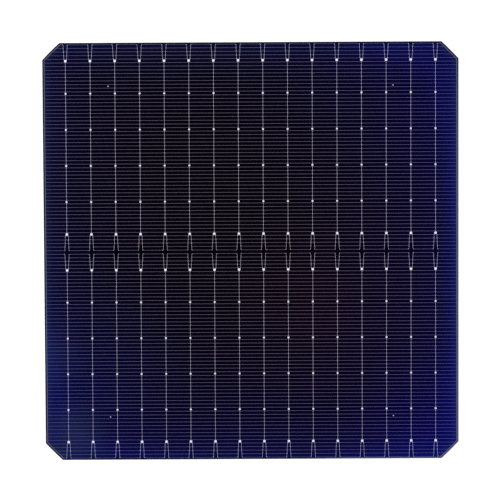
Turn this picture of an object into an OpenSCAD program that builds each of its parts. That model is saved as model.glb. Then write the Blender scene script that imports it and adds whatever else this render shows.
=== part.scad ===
// Monocrystalline solar cell with a silver grid printed on both faces.
// The cell lies on its rear busbars: +Z is the sunny side, X runs along the fingers and
// Y along the busbars. The origin is under the middle of the cell, on the surface it lies on.
// All sizes are in millimetres.

/* [Wafer] */
// Width of the wafer, along the fingers
wafer_w = 182.2; // [176:0.1:190]
// Length of the wafer, along the busbars
wafer_l = 183.75; // [176:0.05:190]
// Length that each corner cut takes off the upper and lower side
corner_leg = 7.5; // [5:0.5:8]
// Thickness of the silicon
wafer_t = 0.13; // [0.1:0.01:0.2]

/* [Fingers] */
// Finger lines in each half of the cell
fingers_per_half = 58; // [50:1:66]
// Width of a finger line and of the edge line
finger_w = 0.035; // [0.02:0.005:0.06]
// Height of the first print, which makes the fingers
finger_h = 0.012; // [0.008:0.002:0.02]
// Distance from the wafer's edge to the middle of the edge line
edge_inset = 0.8; // [0.6:0.1:1.2]

/* [Busbars] */
// Distance from the wafer's side to the middle of the first busbar
busbar_margin = 10.1; // [9.5:0.1:14]
// Width of a busbar
busbar_w = 0.09; // [0.05:0.01:0.3]
// Height of the second print over the fingers
busbar_h = 0.008; // [0.004:0.002:0.02]

/* [Solder pads] */
// Pads on each half of a busbar
pads_per_half = 6; // [4:2:8]
// Side of the pad at each end of a half busbar
end_pad = 1; // [0.8:0.05:1.2]
// Side of the pads between them
mid_pad = 0.7; // [0.5:0.02:1.1]
// Cut across the two corners of an end pad that face the busbar
end_pad_cut = 0.15; // [0.1:0.05:0.35]

/* [Forks] */
// Finger lines that each fork reaches, the end line included
fork_rows = 5; // [3:1:7]
// Finger lines that stop at the prongs, the end line included
open_rows = 2; // [1:1:2]
// Width of a prong
prong_w = 0.085; // [0.04:0.005:0.1]
// Half the spread of the prongs at the first finger line past the pad
fork_neck = 0.61; // [0.58:0.01:0.75]
// Half the spread of the prongs where they turn into the end line
fork_mouth = 0.89; // [0.8:0.01:1]
// Radius of that turn
fork_turn = 0.3; // [0.2:0.05:0.5]

/* [Alignment dots] */
// Diameter of a dot
dot_d = 0.55; // [0.3:0.05:0.8]
// Distance of a dot from the busbar beside it
dot_offset = 3; // [2:0.5:7]
// Finger lines between a dot and the end of the cell
dot_gap = 12; // [8:1:20]

/* [Hidden] */
$fn = 180;
busbar_count = 16;
dot_busbar = 3;

ingot_r = norm([wafer_w / 2 - corner_leg, wafer_l / 2]);
print_h = finger_h + busbar_h;
wafer_z = print_h;
front_z = wafer_z + wafer_t;

busbar_pitch = (wafer_w - 2 * busbar_margin) / (busbar_count - 1);
function busbar_x(i) = -wafer_w / 2 + busbar_margin + (i - 1) * busbar_pitch;

// The fingers keep one pitch right across the cell, so the two halves sit half a pitch off the middle
finger_pitch = (wafer_l - 2 * edge_inset) / (2 * fingers_per_half - 1);
half_gaps = fingers_per_half - 1;
half_length = half_gaps * finger_pitch;
half_y = (half_length + finger_pitch) / 2;
function row_y(row) = half_length / 2 - row * finger_pitch;
function gap_y(gap) = row_y(gap + 0.5);

// Pads lie midway between two fingers, the spare gaps going to the middle of the half
end_gap = fork_rows - 1;
pad_step = (half_gaps - 1 - 2 * end_gap) / (pads_per_half - 1);
function pad_gap(i) =
    let (gap = end_gap + i * pad_step) i < pads_per_half / 2 ? floor(gap) : ceil(gap);
end_pad_y = gap_y(end_gap);

// Middle line of a prong's straight runs, from inside the end pad to its turn
turn_y = half_length / 2 - fork_turn;
prong_path = [
    [end_pad / 2 - prong_w, end_pad_y],
    [(end_pad - prong_w) / 2, end_pad_y + end_pad / 2],
    [fork_neck, row_y(end_gap)],
    [fork_mouth, turn_y]
];
function prong_x(y) = lookup(y, [for (p = prong_path) [p.y, p.x]]);
function prong_side(offset) = [for (p = prong_path) [p.x + offset, p.y]];
function reversed(points) = [for (i = [len(points) - 1 : -1 : 0]) points[i]];
function mirrored(points) = [for (p = points) [-p.x, p.y]];

function busbar_name(face, i) = str(face, "_busbar_", i < 10 ? "0" : "", i);
function busbar_names(face) = [for (i = [1 : busbar_count]) busbar_name(face, i)];

silicon_colour = "#0b0a2c";
front_silver = "#c9c9d4";
rear_silver = "#b9bac2";

// Outline of the wafer, drawn in by a margin: a rectangle trimmed by the round ingot
module wafer_outline(margin) {
    intersection() {
        square([wafer_w - 2 * margin, wafer_l - 2 * margin], center = true);
        circle(ingot_r - margin);
    }
}

module edge_line() {
    difference() {
        wafer_outline(edge_inset - finger_w / 2);
        wafer_outline(edge_inset + finger_w / 2);
    }
}

// Finger lines of one half about its own middle, counted from its upper end
module finger_rows(width, first, last) {
    for (row = [first : last])
        translate([0, row_y(row)])
            square([width, finger_w], center = true);
}

// Everything on the upper half that lies no nearer the middle than its first finger
module upper_half_area() {
    translate([-wafer_w / 2, (finger_pitch - finger_w) / 2])
        square([wafer_w, wafer_l / 2]);
}

// The children as drawn, and once more mirrored along an axis
module mirrored_pair(axis) {
    children();
    mirror(axis) children();
}

// One of the two prongs that carry current between the end pad and the end line
module prong() {
    ring = fork_turn + prong_w / 2;
    polygon(concat(prong_side(prong_w / 2), reversed(prong_side(-prong_w / 2))));
    translate([fork_mouth + fork_turn, turn_y])
        intersection() {
            difference() {
                circle(ring);
                circle(ring - prong_w);
            }
            translate([-ring, 0]) square(ring);
        }
}

// Area between the outer sides of two prongs, which the end line and the next fingers leave open
module fork_area() {
    first_y = row_y(open_rows - 0.5);
    outer = [
        [prong_x(first_y) + prong_w / 2, first_y],
        [fork_mouth + prong_w / 2, turn_y],
        [fork_mouth + fork_turn, turn_y],
        [fork_mouth + fork_turn, half_length / 2 + finger_w]
    ];
    polygon(concat(outer, reversed(mirrored(outer))));
}

module end_pad_outline() {
    half = end_pad / 2;
    translate([0, end_pad_y])
        polygon([
            [-half, half],
            [half, half],
            [half, end_pad_cut - half],
            [half - end_pad_cut, -half],
            [end_pad_cut - half, -half],
            [-half, end_pad_cut - half]
        ]);
}

// Pads and prongs of one half busbar, which the second print lays on the wafer
module pads_and_prongs() {
    mirrored_pair([0, 1, 0]) {
        end_pad_outline();
        mirrored_pair([1, 0, 0]) prong();
    }
    for (i = [1 : pads_per_half - 2])
        translate([0, gap_y(pad_gap(i))])
            square(mid_pad, center = true);
}

// The second print: its prongs climb over the fingers, and its strip lies on top of them
module half_busbar() {
    difference() {
        linear_extrude(print_h) pads_and_prongs();
        linear_extrude(finger_h)
            mirrored_pair([0, 1, 0])
                finger_rows(2 * fork_mouth + prong_w, open_rows, fork_rows - 1);
    }
    translate([0, 0, finger_h])
        linear_extrude(busbar_h)
            square([busbar_w, 2 * end_pad_y], center = true);
}

// Both halves of one busbar, printed on a face that lies at z = 0
module busbar(i) {
    mirrored_pair([0, 1, 0])
        translate([busbar_x(i), half_y, 0])
            half_busbar();
}

// Fingers and edge line of the upper half, printed on a face that lies at z = 0
module upper_fingers() {
    linear_extrude(finger_h)
        difference() {
            union() {
                intersection() {
                    translate([0, half_y]) finger_rows(wafer_w, 0, half_gaps);
                    wafer_outline(edge_inset);
                }
                intersection() {
                    edge_line();
                    upper_half_area();
                }
            }
            for (i = [1 : busbar_count])
                translate([busbar_x(i), half_y])
                    mirrored_pair([0, 1, 0]) fork_area();
        }
}

module on_front() {
    color(front_silver) translate([0, 0, front_z]) children();
}

module on_rear() {
    color(rear_silver) translate([0, 0, wafer_z]) mirror([0, 0, 1]) children();
}

module wafer() {
    color(silicon_colour)
        translate([0, 0, wafer_z])
            linear_extrude(wafer_t)
                wafer_outline(0);
}

module front_fingers_upper() {
    on_front() upper_fingers();
}

module front_fingers_lower() {
    on_front() mirror([0, 1, 0]) upper_fingers();
}

module front_busbar(i) {
    on_front() busbar(i);
}

module front_alignment_dots() {
    on_front()
        mirrored_pair([1, 0, 0])
            mirrored_pair([0, 1, 0])
                translate([busbar_x(dot_busbar) - dot_offset, half_y + gap_y(dot_gap - 1), 0])
                    cylinder(h = finger_h, d = dot_d);
}

module rear_fingers_upper() {
    on_rear() upper_fingers();
}

module rear_fingers_lower() {
    on_rear() mirror([0, 1, 0]) upper_fingers();
}

module rear_busbar(i) {
    on_rear() busbar(i);
}

wafer();
front_fingers_upper();
front_fingers_lower();
front_alignment_dots();
rear_fingers_upper();
rear_fingers_lower();
for (i = [1 : busbar_count]) {
    front_busbar(i);
    rear_busbar(i);
}
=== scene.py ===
import math

import bpy
from mathutils import Euler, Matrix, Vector


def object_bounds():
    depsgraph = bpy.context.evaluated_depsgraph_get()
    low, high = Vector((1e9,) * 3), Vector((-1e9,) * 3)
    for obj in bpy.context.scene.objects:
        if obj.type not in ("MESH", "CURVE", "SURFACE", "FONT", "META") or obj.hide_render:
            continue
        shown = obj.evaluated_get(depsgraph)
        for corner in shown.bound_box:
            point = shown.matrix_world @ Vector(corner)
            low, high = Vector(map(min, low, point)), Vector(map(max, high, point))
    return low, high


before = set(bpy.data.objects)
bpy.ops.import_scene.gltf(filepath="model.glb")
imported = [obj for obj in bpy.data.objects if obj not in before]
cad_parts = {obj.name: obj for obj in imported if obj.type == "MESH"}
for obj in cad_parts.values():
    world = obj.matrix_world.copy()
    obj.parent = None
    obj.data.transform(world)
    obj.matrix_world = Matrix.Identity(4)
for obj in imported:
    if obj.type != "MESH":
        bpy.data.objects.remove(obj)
cad_low, cad_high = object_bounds()

MM = 0.001

# Camera, from the four edges of the cell in the photograph: nearly straight above, leaning a little back
CAMERA_DISTANCE = 1400 * MM
CAMERA_AIM = Vector((-0.56, 0.68, 0)) * MM
CAMERA_LEAN = math.radians(-4.21)
CAMERA_SIDE_LEAN = math.radians(-0.06)
CAMERA_ROLL = math.radians(-0.28)
CAMERA_FOCAL_PX = 3184.7
CAMERA_NEAR = 10 * MM
PHOTO_PX = 500
SENSOR = 36

# Light that falls on a level surface, as a share of what shows a colour as it is written
SKY_LEVEL = 0.7
LAMP_LEVEL = 0.3
LAMP_SIZE = 1200 * MM
LAMP_PLACE = Vector((-500, 700, 1100)) * MM

# The floor lies clear of the rear print, so that no two faces share a plane
FLOOR_GAP = 0.01 * MM
FLOOR_SIZE = 6000 * MM
# Light that the floor adds where it is seen, so that it shows as white
FLOOR_LIFT = 0.35

# The round ingot takes this length off the wafer's upper and lower side at each corner
CORNER_LEG = 7.5 * MM
INGOT_R = math.hypot(cad_high[0] - CORNER_LEG, cad_high[1])
# A face whose normal has at least this share of up or down is the front or the rear, and not the edge
LEVEL_SHARE = 0.5

# Layout of the printed grid
FINGERS = 116
EDGE_INSET = 0.8 * MM
FINGER_PITCH = (cad_high[1] - cad_low[1] - 2 * EDGE_INSET) / (FINGERS - 1)
HALF_MIDDLE = FINGERS / 4 * FINGER_PITCH
BUSBAR_PITCH = 10.8 * MM
# Half the width of a fork's opening, and where it starts in finger pitches from the middle of a half
FORK_REACH = 0.95 * MM
FORK_START = 27
# Pads on either side of the middle of a half busbar, in finger pitches, and how far a pad reaches
PAD_PLACES = (5, 15, 24)
PAD_REACH = 0.52 * MM

# The nitride coat is thinnest to the upper left of the middle and thickens towards the rim, most to the
# lower left and the upper right, and once more near the rim
COAT_MIDDLE = Vector((-14, 18, 0)) * MM
COAT_TURN = math.radians(24.8)
COAT_REACH_ALONG = 149 * MM
COAT_REACH_ACROSS = 201 * MM
RIM_REACH = 20 * MM
RIM_DEPTH = 0.22
# Its clouds: how wide they are, how strong where the coat is thinnest, and what full thickness adds
CLOUD_SIZE = 30 * MM
CLOUD_LEAST = 0.04
CLOUD_GROWTH = 0.12
# Patches of the coat: the middle of each, how far it reaches and the colour that it adds
COAT_PATCHES = (
    # Just thin enough to turn from black to wine red, most in a small spot
    (Vector((30, -19, 0)) * MM, 69 * MM, "#060000"),
    (Vector((29, -24, 0)) * MM, 26 * MM, "#050000"),
    # A deeper blue on the left, along the lower end and in the lower right corner
    (Vector((-75, -58, 0)) * MM, 54 * MM, "#00041d"),
    (Vector((0, -100, 0)) * MM, 56.5 * MM, "#000017"),
    (Vector((91, -100, 0)) * MM, 70 * MM, "#000037"),
    # So thick that it turns a paler steel blue, in the lower left corner and up the left side
    (Vector((-79, -81, 0)) * MM, 19 * MM, "#131c04"),
    (Vector((-91, -46, 0)) * MM, 22 * MM, "#0a1022"),
)
# Along the sides and the cut corners the coat thickens in a narrow band
BAND_START = 3.8 * MM
# Outside the edge line the coat runs out, which leaves the margin black; towards the right the margin is
# painted a lighter grey, as painted light
MARGIN_BARE = 0.5 * MM
MARGIN_COATED = 0.65 * MM
# The painted light on the right side sets in between two distances from the middle along this direction,
# from a least share
PAINTED_LIGHT_ALONG = Vector((0.94, -0.34, 0))
PAINTED_LIGHT_START = 52 * MM
PAINTED_LIGHT_FULL = 72 * MM
PAINTED_LIGHT_LEAST = 0.06
# Where that painted light falls, a deeper blue is also painted near the side, as painted light, between
# these distances from the side
PAINTED_BLUE_START = 7 * MM
PAINTED_BLUE_FULL = 3 * MM
# Lines that a laser melts smooth in the silicon, to dope it, under the fingers and under the edge line,
# and the share of a line's width over which each of its sides fades out
LASER_LINE = 0.2 * MM
LASER_EDGE_LINE = 0.3 * MM
LASER_FADE = 0.15
# The etched pyramids are a few microns wide; they are drawn coarser here so that they show
PYRAMID_SIZE = 0.12 * MM
# Spacing of the saw marks on the wafer's edge
SAW_MARK = 0.06 * MM

# Silver grains sinter to lumps of a few microns; they are drawn coarser here so that they show
GRAIN_SIZE = 0.04 * MM
GRAIN_SPECKLE = 0.4
# Height of a grain or a pyramid as a share of its width
RELIEF_SHARE = 0.125
# Length over which a printed line swells and thins
PRINT_WAVE = 2.5 * MM


def linear(colour):
    """An sRGB hex colour as linear RGBA."""
    parts = [int(colour[i:i + 2], 16) / 255 for i in (1, 3, 5)]
    return [c / 12.92 if c <= 0.04045 else ((c + 0.055) / 1.055) ** 2.4 for c in parts] + [1]


def add_node(tree, kind, inputs=None, stops=(), **settings):
    """Adds a shader node and sets it. Each input takes a value, another node's socket, or a node, which
    stands for the first socket that it gives. The stops are a ramp's places and colours."""
    made = tree.nodes.new("ShaderNode" + kind)
    for name, value in settings.items():
        setattr(made, name, value)
    for socket, value in (inputs or {}).items():
        if isinstance(value, bpy.types.Node):
            value = next(output for output in value.outputs if output.enabled)
        if isinstance(value, bpy.types.NodeSocket):
            tree.links.new(value, made.inputs[socket])
        else:
            made.inputs[socket].default_value = value
    for i, (place, colour) in enumerate(stops):
        elements = made.color_ramp.elements
        element = elements[i] if i < len(elements) else elements.new(place)
        element.position = place
        element.color = linear(colour)
    return made


def new_material(name):
    """An empty node material."""
    material = bpy.data.materials.new(name)
    material.use_nodes = True
    material.node_tree.nodes.clear()
    return material, material.node_tree


def side_distance(tree, place, axes):
    """How far a point lies inside the wafer's sides and cut corners, which the round ingot trims."""
    aside = add_node(tree, "Math", {0: axes.outputs["X"]}, operation="ABSOLUTE")
    radius = add_node(tree, "VectorMath", {0: place}, operation="LENGTH")
    from_side = add_node(tree, "Math", {0: cad_high[0], 1: aside}, operation="SUBTRACT")
    from_corner = add_node(tree, "Math", {0: INGOT_R, 1: radius}, operation="SUBTRACT")
    return add_node(tree, "Math", {0: from_side, 1: from_corner}, operation="MINIMUM")


def edge_distance(tree, axes, from_side):
    """How far a point lies inside the wafer's outline, its upper and lower ends included."""
    along = add_node(tree, "Math", {0: axes.outputs["Y"]}, operation="ABSOLUTE")
    from_end = add_node(tree, "Math", {0: cad_high[1], 1: along}, operation="SUBTRACT")
    return add_node(tree, "Math", {0: from_side, 1: from_end}, operation="MINIMUM")


def half_distance(tree, axes):
    """How far a point lies, along the busbars, from the middle of its half of the cell."""
    from_cell = add_node(tree, "Math", {0: axes.outputs["Y"]}, operation="ABSOLUTE")
    from_half = add_node(tree, "Math", {0: from_cell, 1: HALF_MIDDLE}, operation="SUBTRACT")
    return add_node(tree, "Math", {0: from_half}, operation="ABSOLUTE")


def rim_share(tree, axes):
    """0 inside the rim band, rising to 1 at the wafer's edge."""
    aside = add_node(tree, "Math", {0: axes.outputs["X"]}, operation="ABSOLUTE")
    along = add_node(tree, "Math", {0: axes.outputs["Y"]}, operation="ABSOLUTE")
    # The rim is nearest along whichever axis is further out
    further = add_node(tree, "Math", {0: aside, 1: along}, operation="MAXIMUM")
    near_rim = add_node(
        tree, "MapRange", {"Value": further, "From Min": cad_high[1] - RIM_REACH, "From Max": cad_high[1]}
    )
    return add_node(tree, "Math", {0: near_rim, 1: near_rim}, operation="MULTIPLY")


def coat_thickness(tree, place, axes):
    """How far the coat has thickened, from 0 in the middle to about 1 at the corners, a little cloudy."""
    turned = add_node(
        tree,
        "VectorRotate",
        {"Vector": place, "Center": COAT_MIDDLE, "Angle": -COAT_TURN},
        rotation_type="Z_AXIS",
    )
    from_middle = add_node(tree, "VectorMath", {0: turned, 1: COAT_MIDDLE}, operation="SUBTRACT")
    per_reach = (1 / COAT_REACH_ALONG, 1 / COAT_REACH_ACROSS, 0)
    share = add_node(tree, "VectorMath", {0: from_middle, 1: per_reach}, operation="MULTIPLY")
    even = add_node(tree, "VectorMath", {0: share, 1: share}, operation="DOT_PRODUCT")
    rim = rim_share(tree, axes)
    thicker = add_node(tree, "Math", {0: rim, 1: RIM_DEPTH, 2: even}, operation="MULTIPLY_ADD")
    cloud = add_node(
        tree, "TexNoise", {"Vector": place, "Scale": 1 / CLOUD_SIZE, "Detail": 3.0, "Roughness": 0.55}
    )
    centred = add_node(tree, "Math", {0: cloud, 1: 0.5}, operation="SUBTRACT")
    # The clouds grow with the coat, so the black middle stays clean
    grown = add_node(tree, "Math", {0: thicker, 1: CLOUD_GROWTH, 2: CLOUD_LEAST}, operation="MULTIPLY_ADD")
    return add_node(tree, "Math", {0: centred, 1: grown, 2: thicker}, operation="MULTIPLY_ADD")


def laser_lines(tree, axes):
    """1 on the lines under the fingers and 0 beside them, with gaps where the fingers stop at a fork."""
    # The fingers lie half a pitch off the middle of the cell, where the wave is highest
    wave = add_node(tree, "Math", {0: axes.outputs["Y"], 1: FINGER_PITCH / 2}, operation="PINGPONG")
    line = add_node(
        tree,
        "MapRange",
        {
            "Value": wave,
            "From Min": (FINGER_PITCH - LASER_LINE * (1 + LASER_FADE)) / 2,
            "From Max": (FINGER_PITCH - LASER_LINE * (1 - LASER_FADE)) / 2,
        },
    )
    # The busbars lie half a pitch off the middle of the cell too
    beside = add_node(tree, "Math", {0: axes.outputs["X"], 1: BUSBAR_PITCH / 2}, operation="PINGPONG")
    clear = add_node(tree, "Math", {0: beside, 1: BUSBAR_PITCH / 2 - FORK_REACH}, operation="LESS_THAN")
    from_half = half_distance(tree, axes)
    inside = add_node(tree, "Math", {0: from_half, 1: FORK_START * FINGER_PITCH}, operation="LESS_THAN")
    printed = add_node(tree, "Math", {0: clear, 1: inside}, operation="MAXIMUM")
    return add_node(tree, "Math", {0: line, 1: printed}, operation="MULTIPLY")


def coat_colour(tree, place, axes, from_side, thickness):
    """Colour of the coat on etched silicon, with its rim and band, on the laser's lines and in patches."""
    etched = add_node(
        tree,
        "ValToRGB",
        {"Fac": thickness},
        stops=[
            (0.0, "#03010a"),
            (0.12, "#030113"),
            (0.3, "#040122"),
            (0.45, "#04022d"),
            (0.6, "#040342"),
            (0.8, "#050443"),
            (1.0, "#060657"),
        ],
    )
    rimmed = add_node(
        tree,
        "Mix",
        {"Factor": rim_share(tree, axes), "A": etched, "B": linear("#050b0a")},
        data_type="RGBA",
        blend_type="ADD",
    )
    band = add_node(tree, "MapRange", {"Value": from_side, "From Min": BAND_START, "From Max": EDGE_INSET})
    banded = add_node(
        tree,
        "Mix",
        {"Factor": band, "A": rimmed, "B": linear("#0a1505")},
        data_type="RGBA",
        blend_type="ADD",
    )
    melted = add_node(
        tree,
        "ValToRGB",
        {"Fac": thickness},
        stops=[(0.0, "#4a444d"), (0.27, "#474169"), (0.53, "#383282"), (0.9, "#2e2695")],
    )
    coat = add_node(
        tree, "Mix", {"Factor": laser_lines(tree, axes), "A": banded, "B": melted}, data_type="RGBA"
    )
    for middle, reach, tint in COAT_PATCHES:
        from_patch = add_node(tree, "VectorMath", {0: place, 1: middle}, operation="DISTANCE")
        share = add_node(
            tree,
            "MapRange",
            {"Value": from_patch, "From Max": reach, "To Min": 1.0, "To Max": 0.0},
            interpolation_type="SMOOTHSTEP",
        )
        coat = add_node(
            tree,
            "Mix",
            {"Factor": share, "A": coat, "B": linear(tint)},
            data_type="RGBA",
            blend_type="ADD",
        )
    return coat


def front_colour(tree, place, axes, thickness):
    """Colour of the front: the coat, with painted light along the right side that turns it a deeper blue
    there, the paler line under the edge line, and the margin outside it, which the same painted light turns
    a lighter grey towards the right."""
    from_side = side_distance(tree, place, axes)
    coat = coat_colour(tree, place, axes, from_side, thickness)
    # Painted light: a mask that rises towards the right side, where the coat is painted bluer and the
    # margin lighter
    toward_painted_light = add_node(tree, "VectorMath", {0: place, 1: PAINTED_LIGHT_ALONG}, operation="DOT_PRODUCT")
    painted_light = add_node(
        tree,
        "MapRange",
        {"Value": toward_painted_light, "From Min": PAINTED_LIGHT_START, "From Max": PAINTED_LIGHT_FULL, "To Min": PAINTED_LIGHT_LEAST},
    )
    near_side = add_node(
        tree, "MapRange", {"Value": from_side, "From Min": PAINTED_BLUE_START, "From Max": PAINTED_BLUE_FULL}
    )
    painted_blue_share = add_node(tree, "Math", {0: near_side, 1: painted_light}, operation="MULTIPLY")
    with_painted_blue = add_node(
        tree,
        "Mix",
        {"Factor": painted_blue_share, "A": coat, "B": linear("#000025")},
        data_type="RGBA",
        blend_type="ADD",
    )
    edge_line = add_node(
        tree, "Math", {0: from_side, 1: EDGE_INSET, 2: LASER_EDGE_LINE / 2}, operation="COMPARE"
    )
    lined = add_node(
        tree, "Mix", {"Factor": edge_line, "A": with_painted_blue, "B": linear("#5f5e7b")}, data_type="RGBA"
    )
    # The margin goes from near black to a lighter grey towards the right: painted light
    margin = add_node(
        tree, "Mix", {"Factor": painted_light, "A": linear("#0c0c10"), "B": linear("#4c566c")}, data_type="RGBA"
    )
    from_edge = edge_distance(tree, axes, from_side)
    coated = add_node(
        tree, "MapRange", {"Value": from_edge, "From Min": MARGIN_BARE, "From Max": MARGIN_COATED}
    )
    return add_node(tree, "Mix", {"Factor": coated, "A": margin, "B": lined}, data_type="RGBA")


def edge_and_rear_colour(tree, place, facing, thickness):
    """Colour of the wafer's edge, with its saw marks, and of the rear."""
    marks = add_node(tree, "TexNoise", {"Vector": place, "Scale": 1 / SAW_MARK, "Detail": 2.0})
    sawn = add_node(tree, "ValToRGB", {"Fac": marks}, stops=[(0.3, "#34353a"), (0.7, "#4a4b51")])
    rear = add_node(
        tree,
        "ValToRGB",
        {"Fac": thickness},
        stops=[(0.0, "#232b38"), (0.6, "#252f42"), (1.0, "#28344c")],
    )
    is_rear = add_node(tree, "Math", {0: facing.outputs["Z"], 1: -LEVEL_SHARE}, operation="LESS_THAN")
    return add_node(tree, "Mix", {"Factor": is_rear, "A": sawn, "B": rear}, data_type="RGBA")


def nitride_coated_silicon():
    """Monocrystalline silicon, etched to fine pyramids and coated with nitride. The pyramids swallow
    nearly all light, so the front is almost black, with a breath of wine red where the coat is thin and
    deep blue where it is thick. A laser has melted the pyramids smooth under each finger, which leaves a
    violet line, and under the edge line, which leaves a paler one. The rear is etched flat and shows a
    slate blue, and the sawn edge is bare grey silicon with saw marks."""
    material, tree = new_material("nitride_coated_silicon")
    surface = add_node(tree, "TexCoord")
    place = surface.outputs["Object"]
    axes = add_node(tree, "SeparateXYZ", {0: place})
    facing = add_node(tree, "SeparateXYZ", {0: surface.outputs["Normal"]})
    thickness = coat_thickness(tree, place, axes)
    front = front_colour(tree, place, axes, thickness)
    edge_or_rear = edge_and_rear_colour(tree, place, facing, thickness)
    is_front = add_node(tree, "Math", {0: facing.outputs["Z"], 1: LEVEL_SHARE}, operation="GREATER_THAN")
    colour = add_node(tree, "Mix", {"Factor": is_front, "A": edge_or_rear, "B": front}, data_type="RGBA")
    pyramids = add_node(tree, "TexVoronoi", {"Vector": place, "Scale": 1 / PYRAMID_SIZE})
    relief = add_node(
        tree, "Bump", {"Strength": 0.25, "Distance": PYRAMID_SIZE * RELIEF_SHARE, "Height": pyramids}
    )
    silicon = add_node(
        tree,
        "BsdfPrincipled",
        {"Base Color": colour, "Roughness": 0.45, "Specular IOR Level": 0.01, "Normal": relief},
    )
    add_node(tree, "OutputMaterial", {"Surface": silicon})
    return material


def paste_surface(tree, place, axes, thickness, thin, thick, tint):
    """Fired silver: greyer where the paste is thin, whiter where it is thick, matt from its sintered
    grains. The glass between the grains takes up some blue of the coat, most where the coat is thick."""
    grain = add_node(
        tree, "TexNoise", {"Vector": place, "Scale": 1 / GRAIN_SIZE, "Detail": 3.0, "Roughness": 0.6}
    )
    speckle = add_node(
        tree, "MapRange", {"Value": grain, "To Min": -GRAIN_SPECKLE, "To Max": GRAIN_SPECKLE}
    )
    lumpy = add_node(tree, "Math", {0: thickness, 1: speckle}, operation="ADD", use_clamp=True)
    tone = add_node(tree, "Mix", {"Factor": lumpy, "A": linear(thin), "B": linear(thick)}, data_type="RGBA")
    tinted = add_node(
        tree,
        "Mix",
        {"Factor": coat_thickness(tree, place, axes), "A": tone, "B": linear(tint)},
        data_type="RGBA",
        blend_type="ADD",
        clamp_result=True,
    )
    roughness = add_node(tree, "MapRange", {"Value": grain, "To Min": 0.5, "To Max": 0.72})
    relief = add_node(
        tree, "Bump", {"Strength": 0.5, "Distance": GRAIN_SIZE * RELIEF_SHARE, "Height": grain}
    )
    silver = add_node(
        tree,
        "BsdfPrincipled",
        {"Base Color": tinted, "Metallic": 1.0, "Roughness": roughness, "Normal": relief},
    )
    add_node(tree, "OutputMaterial", {"Surface": silver})


def silver_finger_paste(name, thin, thick, tint):
    """Silver paste with glass frit, pressed through a fine screen and fired: thin dull grey lines that
    swell and thin a little along their length, and dots that take more paste and so look paler."""
    material, tree = new_material(name)
    place = add_node(tree, "TexCoord").outputs["Object"]
    axes = add_node(tree, "SeparateXYZ", {0: place})
    wave = add_node(tree, "TexNoise", {"Vector": place, "Scale": 1 / PRINT_WAVE, "Detail": 2.0})
    paste_surface(tree, place, axes, wave, thin, thick, tint)
    return material


def silver_busbar_paste(name, thin, thick, tint):
    """Denser silver paste of the second print, fired: it lies thick and white on the pads and where it
    climbs over a finger, and thin and greyer along the lines between."""
    material, tree = new_material(name)
    place = add_node(tree, "TexCoord").outputs["Object"]
    axes = add_node(tree, "SeparateXYZ", {0: place})
    turn = add_node(
        tree, "Math", {0: axes.outputs["Y"], 1: 2 * math.pi / FINGER_PITCH}, operation="MULTIPLY"
    )
    between = add_node(tree, "Math", {0: turn}, operation="COSINE")
    # The fingers lie half a pitch off the middle of the cell, where the cosine is -1
    thickness = add_node(tree, "Math", {0: between, 1: -0.5, 2: 0.5}, operation="MULTIPLY_ADD")
    from_half = half_distance(tree, axes)
    for pitches in PAD_PLACES:
        on_pad = add_node(
            tree, "Math", {0: from_half, 1: pitches * FINGER_PITCH, 2: PAD_REACH}, operation="COMPARE"
        )
        thickness = add_node(tree, "Math", {0: thickness, 1: on_pad}, operation="MAXIMUM")
    paste_surface(tree, place, axes, thickness, thin, thick, tint)
    return material


def give_finish(start, material):
    """Gives the material to every node whose name starts so."""
    for name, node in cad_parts.items():
        if name.startswith(start):
            for slot in node.material_slots:
                slot.material = material


def white_floor():
    """A wide floor of matt white paper just under the cell; the eye sees it as white, and it keeps the
    shadow."""
    material, tree = new_material("white_paper_floor")
    ray = add_node(tree, "LightPath")
    seen = add_node(
        tree,
        "Math",
        {0: ray.outputs["Is Camera Ray"], 1: ray.outputs["Is Glossy Ray"]},
        operation="MAXIMUM",
    )
    seen_through = add_node(
        tree, "Math", {0: seen, 1: ray.outputs["Is Transmission Ray"]}, operation="MAXIMUM"
    )
    lift = add_node(tree, "Math", {0: seen_through, 1: FLOOR_LIFT}, operation="MULTIPLY")
    paper = add_node(
        tree,
        "BsdfPrincipled",
        {
            "Base Color": linear("#f2f2f2"),
            "Roughness": 0.9,
            "Specular IOR Level": 0.0,
            "Emission Color": linear("#ffffff"),
            "Emission Strength": lift,
        },
    )
    add_node(tree, "OutputMaterial", {"Surface": paper})
    bpy.ops.mesh.primitive_plane_add(size=FLOOR_SIZE, location=(0, 0, cad_low[2] - FLOOR_GAP))
    floor = bpy.context.object
    floor.name = "floor"
    floor.data.materials.append(material)


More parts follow.
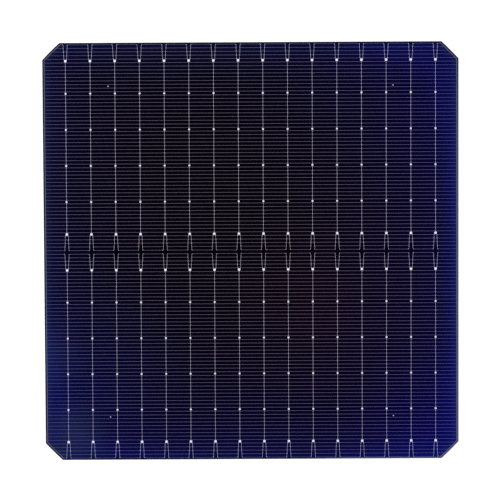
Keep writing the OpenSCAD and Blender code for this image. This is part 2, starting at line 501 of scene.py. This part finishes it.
def studio_light():
    """An even white sky and one large soft lamp."""
    world = bpy.data.worlds.new("studio")
    bpy.context.scene.world = world
    world.use_nodes = True
    tree = world.node_tree
    tree.nodes.clear()
    ray = add_node(tree, "LightPath")
    level = add_node(tree, "Mix", {"Factor": ray.outputs["Is Camera Ray"], "A": SKY_LEVEL, "B": 1.0})
    sky = add_node(tree, "Background", {"Color": linear("#ffffff"), "Strength": level})
    add_node(tree, "OutputWorld", {"Surface": sky})

    lamp = bpy.data.lights.new("softbox", "AREA")
    lamp.size = LAMP_SIZE
    distance = LAMP_PLACE.length
    lean = LAMP_PLACE.z / distance
    # A square lamp of this power gives the wanted level at the cell, seen at this lean
    lamp.energy = LAMP_LEVEL * math.pi * math.pi * distance ** 2 / lean
    softbox = bpy.data.objects.new("softbox", lamp)
    softbox.location = LAMP_PLACE
    softbox.rotation_euler = (-LAMP_PLACE).to_track_quat("-Z", "Y").to_euler()
    bpy.context.collection.objects.link(softbox)


def photograph_camera():
    """The camera at the photograph's place."""
    data = bpy.data.cameras.new("camera")
    data.sensor_width = SENSOR
    data.lens = CAMERA_FOCAL_PX / PHOTO_PX * SENSOR
    data.clip_start = CAMERA_NEAR
    camera = bpy.data.objects.new("camera", data)
    camera.rotation_euler = Euler((CAMERA_LEAN, CAMERA_SIDE_LEAN, CAMERA_ROLL))
    camera.location = CAMERA_AIM + camera.rotation_euler.to_matrix() @ Vector((0, 0, CAMERA_DISTANCE))
    bpy.context.collection.objects.link(camera)
    bpy.context.scene.camera = camera


give_finish("wafer", nitride_coated_silicon())
front_fingers = silver_finger_paste("front_silver_finger_paste", "#7d7783", "#968f9c", "#000074")
give_finish("front_fingers", front_fingers)
front_dots = silver_finger_paste("front_silver_dot_paste", "#a9a5b0", "#c4c0ca", "#0000a0")
give_finish("front_alignment_dots", front_dots)
front_busbars = silver_busbar_paste("front_silver_busbar_paste", "#a8a5b1", "#f6f4fa", "#0000d0")
give_finish("front_busbar", front_busbars)
rear_fingers = silver_finger_paste("rear_silver_finger_paste", "#a9a9ae", "#bcbcc1", "#000020")
give_finish("rear_fingers", rear_fingers)
rear_busbars = silver_busbar_paste("rear_silver_busbar_paste", "#a4a4aa", "#e6e6e8", "#000020")
give_finish("rear_busbar", rear_busbars)

white_floor()
studio_light()
photograph_camera()
bpy.context.scene.view_settings.view_transform = "Standard"
